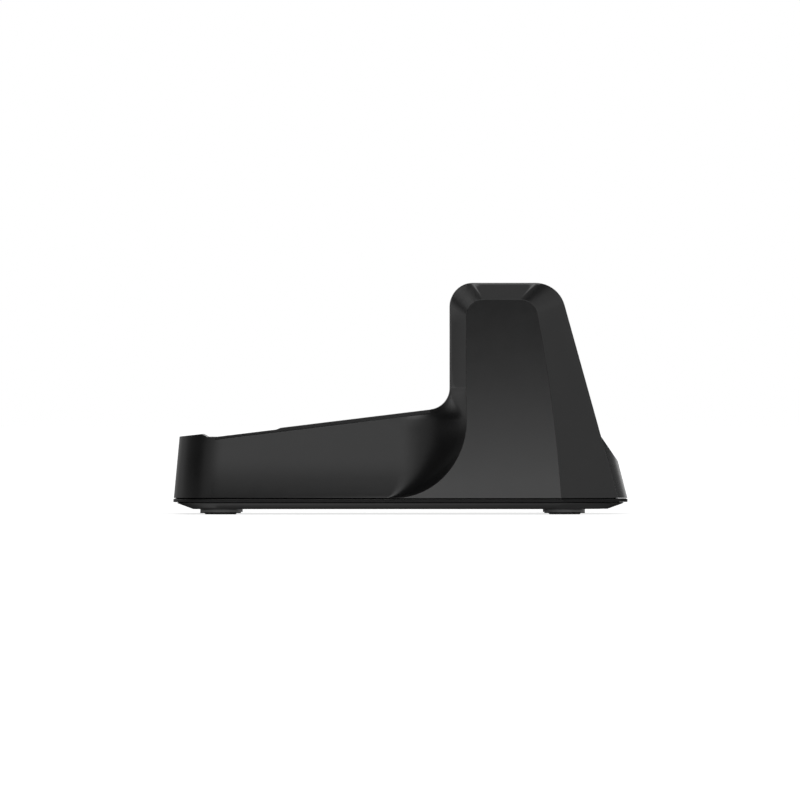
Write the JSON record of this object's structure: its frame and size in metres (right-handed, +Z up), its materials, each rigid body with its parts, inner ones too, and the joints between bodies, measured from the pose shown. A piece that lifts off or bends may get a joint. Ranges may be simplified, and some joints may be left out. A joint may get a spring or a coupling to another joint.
{
  "type": "cordless phone base",
  "caption": "Desk base of a cordless phone: sloping key deck in front and a tall flared cradle with a handset well behind.",
  "frame": {"origin": "centre of the footprint on the desk, at the bottom of the rubber feet", "axes": "+Z up, -Y towards the user (front of the key deck), +X to the user's right"},
  "size_m": [0.1, 0.126, 0.0642],
  "materials": {
    "housing_plastic": "fine spark-eroded texture, black",
    "liner_plastic": "smooth satin black",
    "trim_plastic": "satin black",
    "base_plastic": "fine texture, black",
    "panel_plastic": "satin gloss black",
    "key_plastic": "smooth dark grey",
    "foot_rubber": "soft matte black",
    "light_pipe": "clear moulded pipe",
    "steel": "zinc plated",
    "tin_plate": "tinned sheet",
    "gold_plate": "gold flash",
    "circuit_board": "green solder mask",
    "silicone": "translucent grey silicone",
    "led_body": "clear resin",
    "ribbon": "flat film cable",
    "speaker_paper": "coated paper",
    "magnet": "ferrite",
    "port_plastic": "smooth satin black, a little lighter than the housing",
    "socket_plastic": "black nylon",
    "chip_resin": "epoxy",
    "capacitor_sleeve": "shrink sleeve",
    "transformer_core": "ferrite with taped winding"
  },
  "bodies": {
    "base": {"upper_housing": "housing_plastic", "trim_plate": "trim_plastic", "bottom_cover": "base_plastic", "rear_port_housing": "port_plastic", "cradle_cup": "liner_plastic", "key_panel": "panel_plastic", "message_light": "light_pipe", "charge_light": "light_pipe", "rubber_foot_front_left": "foot_rubber", "rubber_foot_front_right": "foot_rubber", "rubber_foot_rear_left": "foot_rubber", "rubber_foot_rear_right": "foot_rubber", "case_screws": "steel", "contact_spring_left": "steel", "contact_spring_right": "steel", "contact_carrier": "liner_plastic", "contact_board": "circuit_board", "keypad_mat": "silicone", "key_board": "circuit_board", "status_leds": "led_body", "ribbon_cable": "ribbon", "speaker_basket": "tin_plate", "speaker_cone": "speaker_paper", "speaker_magnet": "magnet", "line_jack": "socket_plastic", "line_jack_contacts": "gold_plate", "dc_jack": "socket_plastic", "dc_jack_pin": "gold_plate", "main_board": "circuit_board", "board_screws": "steel", "rf_shield": "tin_plate", "processor_chip": "chip_resin", "power_capacitors": "capacitor_sleeve", "line_transformer": "transformer_core", "ballast_plate": "steel", "antenna_left": "circuit_board", "antenna_right": "circuit_board"},
    "play_stop_key": {"play_stop_key": "key_plastic"},
    "skip_back_key": {"skip_back_key": "key_plastic"},
    "skip_forward_key": {"skip_forward_key": "key_plastic"},
    "delete_key": {"delete_key": "key_plastic"},
    "volume_down_key": {"volume_down_key": "key_plastic"},
    "volume_up_key": {"volume_up_key": "key_plastic"},
    "answer_on_key": {"answer_on_key": "key_plastic"},
    "page_key": {"page_key": "key_plastic"},
    "charge_contact_left": {"charge_contact_left": "gold_plate"},
    "charge_contact_right": {"charge_contact_right": "gold_plate"}
  },
  "joints": [
    {"name": "play_stop_press", "type": "slide", "parent": "base", "child": "play_stop_key", "axis": [0, 0.121, -0.9927], "range_m": [0, 0.0007], "stiffness_N_per_m": 1500, "springref_m": -0.0003},
    {"name": "skip_back_press", "type": "slide", "parent": "base", "child": "skip_back_key", "axis": [0, 0.121, -0.9927], "range_m": [0, 0.0007], "stiffness_N_per_m": 1500, "springref_m": -0.0003},
    {"name": "skip_forward_press", "type": "slide", "parent": "base", "child": "skip_forward_key", "axis": [0, 0.121, -0.9927], "range_m": [0, 0.0007], "stiffness_N_per_m": 1500, "springref_m": -0.0003},
    {"name": "delete_press", "type": "slide", "parent": "base", "child": "delete_key", "axis": [0, 0.121, -0.9927], "range_m": [0, 0.0007], "stiffness_N_per_m": 1500, "springref_m": -0.0003},
    {"name": "volume_down_press", "type": "slide", "parent": "base", "child": "volume_down_key", "axis": [0, 0.121, -0.9927], "range_m": [0, 0.0007], "stiffness_N_per_m": 1500, "springref_m": -0.0003},
    {"name": "volume_up_press", "type": "slide", "parent": "base", "child": "volume_up_key", "axis": [0, 0.121, -0.9927], "range_m": [0, 0.0007], "stiffness_N_per_m": 1500, "springref_m": -0.0003},
    {"name": "answer_on_press", "type": "slide", "parent": "base", "child": "answer_on_key", "axis": [0, 0.121, -0.9927], "range_m": [0, 0.0007], "stiffness_N_per_m": 1500, "springref_m": -0.0003},
    {"name": "page_press", "type": "slide", "parent": "base", "child": "page_key", "axis": [0, 0.121, -0.9927], "range_m": [0, 0.0007], "stiffness_N_per_m": 1500, "springref_m": -0.0003},
    {"name": "contact_left_press", "type": "slide", "parent": "base", "child": "charge_contact_left", "axis": [0, 0, -1], "range_m": [0, 0.0013], "stiffness_N_per_m": 500, "springref_m": -0.0006, "deforming": ["contact_spring_left"]},
    {"name": "contact_right_press", "type": "slide", "parent": "base", "child": "charge_contact_right", "axis": [0, 0, -1], "range_m": [0, 0.0013], "stiffness_N_per_m": 500, "springref_m": -0.0006, "deforming": ["contact_spring_right"]}
  ]
}
